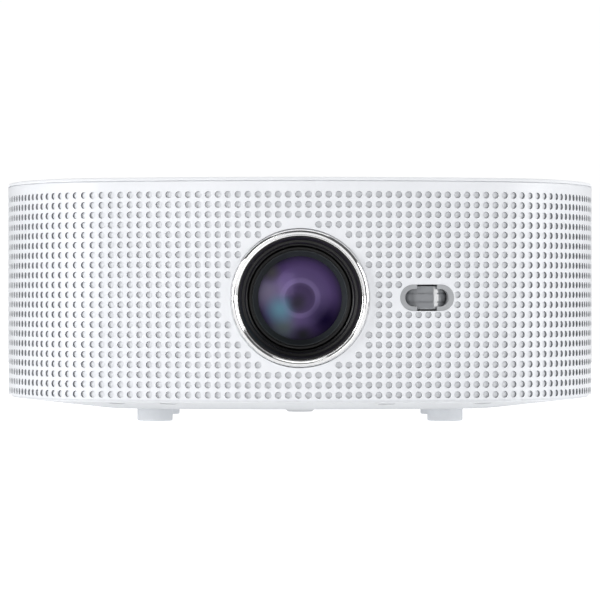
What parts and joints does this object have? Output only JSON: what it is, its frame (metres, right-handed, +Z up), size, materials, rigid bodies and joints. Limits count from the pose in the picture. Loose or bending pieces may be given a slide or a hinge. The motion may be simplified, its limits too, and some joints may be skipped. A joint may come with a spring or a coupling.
{
  "type": "home projector",
  "caption": "Compact oval home projector: dotted drum shell, front lens with chrome ring, focus thumbwheel window, rear ports, fans and a complete light engine inside.",
  "frame": {"origin": "centre of the body's footprint, on the plane the feet stand on", "axes": "+Z up, +X to the right seen from the front, the lens faces -Y"},
  "size_m": [0.202, 0.1549, 0.0812],
  "materials": {
    "white_shell": "fine satin white ABS",
    "white_cover": "fine satin white ABS",
    "pale_base": "fine matt off-white ABS",
    "foot_rubber": "pale translucent silicone rubber",
    "brass_insert": "machined",
    "chrome_trim": "polished bevel",
    "black_plastic": "matt black, stray-light absorbing",
    "coated_glass": "multi-coated, violet and teal reflections",
    "clear_glass": "clear",
    "window_grey": "glossy grey",
    "wheel_grey": "glossy mid grey",
    "steel": "zinc plated",
    "engine_black": "glass-filled, matt black",
    "lcd_glass": "polarised dark glass",
    "reflector": "aluminised film",
    "aluminium_bare": "extruded",
    "phosphor": "yellow phosphor",
    "board_green": "solder mask",
    "chip_black": "moulded epoxy",
    "component_dark": "sleeved",
    "ribbon_amber": "polyimide film",
    "port_metal": "nickel plated",
    "panel_black": "fine spark texture",
    "ir_dark": "infrared-pass tinted",
    "button_white": "satin",
    "fan_black": "moulded",
    "foam": "open-cell foam",
    "speaker_metal": "black",
    "speaker_paper": "pressed paper cone"
  },
  "bodies": {
    "root": {"outer_shell": "white_shell", "top_cover": "white_cover", "base_pan": "pale_base", "foot_front_left": "foot_rubber", "foot_front_right": "foot_rubber", "foot_rear_left": "foot_rubber", "foot_rear_right": "foot_rubber", "tripod_insert": "brass_insert", "base_screws": "steel", "lens_trim_ring": "chrome_trim", "lens_shroud": "black_plastic", "focus_bezel": "window_grey", "lens_guide": "black_plastic", "focus_bracket": "steel", "light_engine_housing": "engine_black", "light_engine_lid": "engine_black", "engine_screws": "steel", "front_fresnel": "clear_glass", "rear_fresnel": "clear_glass", "heat_glass": "clear_glass", "lcd_frame": "panel_black", "lcd_panel": "lcd_glass", "reflector_cone": "reflector", "condenser_lens": "clear_glass", "led_board": "aluminium_bare", "led_emitter": "phosphor", "heat_sink": "aluminium_bare", "main_board": "board_green", "board_chips": "chip_black", "lcd_ribbon": "ribbon_amber", "hdmi_port": "port_metal", "usb_port": "port_metal", "port_tongues": "chip_black", "av_jack": "panel_black", "dc_jack": "panel_black", "rear_panel": "panel_black", "ir_window": "ir_dark", "button_board": "board_green", "power_switch": "component_dark", "intake_fan_frame": "fan_black", "exhaust_fan_frame": "fan_black", "dust_filter": "foam", "speaker_left_driver": "speaker_metal", "speaker_right_driver": "speaker_metal", "speaker_left_cone": "speaker_paper", "speaker_right_cone": "speaker_paper", "driver_board": "board_green", "driver_components": "component_dark"},
    "lens_carriage": {"lens_barrel": "black_plastic", "lens_retaining_ring": "black_plastic", "front_lens": "coated_glass", "middle_lens": "coated_glass", "rear_lens": "clear_glass", "focus_rack": "black_plastic"},
    "focus_drive": {"focus_wheel": "wheel_grey", "focus_shaft": "steel", "focus_pinion": "black_plastic"},
    "intake_rotor": {"intake_fan_rotor": "fan_black"},
    "exhaust_rotor": {"exhaust_fan_rotor": "fan_black"},
    "power_key": {"power_button": "button_white"}
  },
  "joints": [
    {"name": "lens_focus", "type": "slide", "parent": "root", "child": "lens_carriage", "axis": [0, -1, 0], "range_m": [-0.003, 0.003]},
    {"name": "focus_wheel_turn", "type": "hinge", "parent": "root", "child": "focus_drive", "pos_m": [0.03946, -0.06368, 0.0416], "axis": [0, 0, 1], "range_deg": [-36.5, 36.5]},
    {"name": "intake_fan_spin", "type": "hinge", "parent": "root", "child": "intake_rotor", "pos_m": [-0.083, -0.008, 0.043], "axis": [-1, 0, 0], "continuous": true},
    {"name": "exhaust_fan_spin", "type": "hinge", "parent": "root", "child": "exhaust_rotor", "pos_m": [0.083, -0.008, 0.043], "axis": [1, 0, 0], "continuous": true},
    {"name": "power_button_press", "type": "slide", "parent": "root", "child": "power_key", "axis": [0, 0, -1], "range_m": [0, 0.0008], "stiffness_N_per_m": 400, "springref_m": -0.002}
  ],
  "couplings": [
    {"joint": "focus_wheel_turn", "follows": "lens_focus", "rad_per_m": 208.33}
  ]
}
